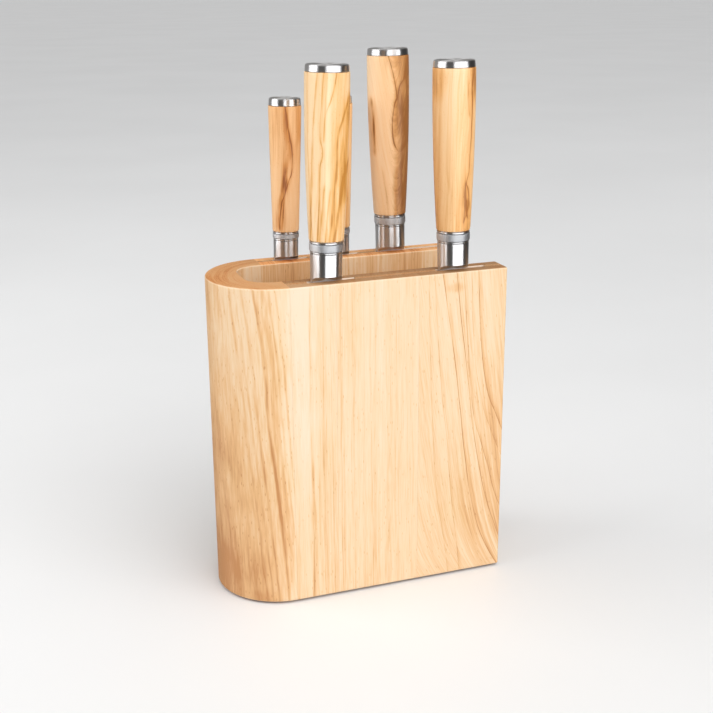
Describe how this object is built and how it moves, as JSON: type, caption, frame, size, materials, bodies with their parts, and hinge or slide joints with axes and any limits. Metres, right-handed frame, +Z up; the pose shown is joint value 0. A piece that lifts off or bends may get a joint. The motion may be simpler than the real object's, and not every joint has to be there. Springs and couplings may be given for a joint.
{
  "type": "knife block with knives",
  "caption": "Upright wooden knife block, rounded at one end and open at the other, with knives that lift out of slots in its walls.",
  "frame": {"origin": "on the table, under the centre of the block's outline", "axes": "+Z up along the knives, X along the block's length with the rounded end at -X, Y across its thickness with the front face at -Y"},
  "size_m": [0.203, 0.0995, 0.3749],
  "materials": {
    "rubberwood": "pale rubberwood with a satin clear finish, darker on its end grain",
    "olive_wood": "oiled olive wood with dark figured streaks",
    "polished_steel": "mirror-polished stainless steel",
    "satin_steel": "satin stainless steel",
    "blade_steel": "stainless steel, satin on the blade and polished on the bolster",
    "black_rubber": "matt black rubber"
  },
  "bodies": {
    "block": {"end_block": "rubberwood", "front_stave_left": "rubberwood", "front_stave_middle": "rubberwood", "front_stave_right": "rubberwood", "front_inner_panel": "rubberwood", "front_slot_rail": "rubberwood", "back_stave_left": "rubberwood", "back_stave_middle": "rubberwood", "back_stave_right": "rubberwood", "back_inner_panel": "rubberwood", "back_slot_rail": "rubberwood", "front_spacer_1": "rubberwood", "front_spacer_2": "rubberwood", "front_spacer_3": "rubberwood", "back_spacer_1": "rubberwood", "back_spacer_2": "rubberwood", "back_spacer_3": "rubberwood", "back_spacer_4": "rubberwood", "floor_panel": "rubberwood", "foot_front_left": "black_rubber", "foot_front_right": "black_rubber", "foot_back_left": "black_rubber", "foot_back_right": "black_rubber"},
    "carving_knife": {"carving_blade": "blade_steel", "carving_lower_ring": "polished_steel", "carving_collar": "satin_steel", "carving_upper_ring": "polished_steel", "carving_handle": "olive_wood", "carving_end_cap": "polished_steel"},
    "bread_knife": {"bread_blade": "blade_steel", "bread_lower_ring": "polished_steel", "bread_collar": "satin_steel", "bread_upper_ring": "polished_steel", "bread_handle": "olive_wood", "bread_end_cap": "polished_steel"},
    "chef_knife": {"chef_blade": "blade_steel", "chef_lower_ring": "polished_steel", "chef_collar": "satin_steel", "chef_upper_ring": "polished_steel", "chef_handle": "olive_wood", "chef_end_cap": "polished_steel"},
    "utility_knife": {"utility_blade": "blade_steel", "utility_lower_ring": "polished_steel", "utility_collar": "satin_steel", "utility_upper_ring": "polished_steel", "utility_handle": "olive_wood", "utility_end_cap": "polished_steel"},
    "paring_knife": {"paring_blade": "blade_steel", "paring_lower_ring": "polished_steel", "paring_collar": "satin_steel", "paring_upper_ring": "polished_steel", "paring_handle": "olive_wood", "paring_end_cap": "polished_steel"}
  },
  "joints": [
    {"name": "carving_draw", "type": "slide", "parent": "block", "child": "carving_knife", "axis": [0.0201, 0, 0.9998], "range_m": [0, 0.21]},
    {"name": "bread_draw", "type": "slide", "parent": "block", "child": "bread_knife", "axis": [-0.0119, 0, 0.9999], "range_m": [0, 0.21]},
    {"name": "chef_draw", "type": "slide", "parent": "block", "child": "chef_knife", "axis": [-0.0154, 0, 0.9999], "range_m": [0, 0.21]},
    {"name": "utility_draw", "type": "slide", "parent": "block", "child": "utility_knife", "axis": [0.0044, 0, 1], "range_m": [0, 0.135]},
    {"name": "paring_draw", "type": "slide", "parent": "block", "child": "paring_knife", "axis": [0.0166, 0, 0.9999], "range_m": [0, 0.1]}
  ]
}
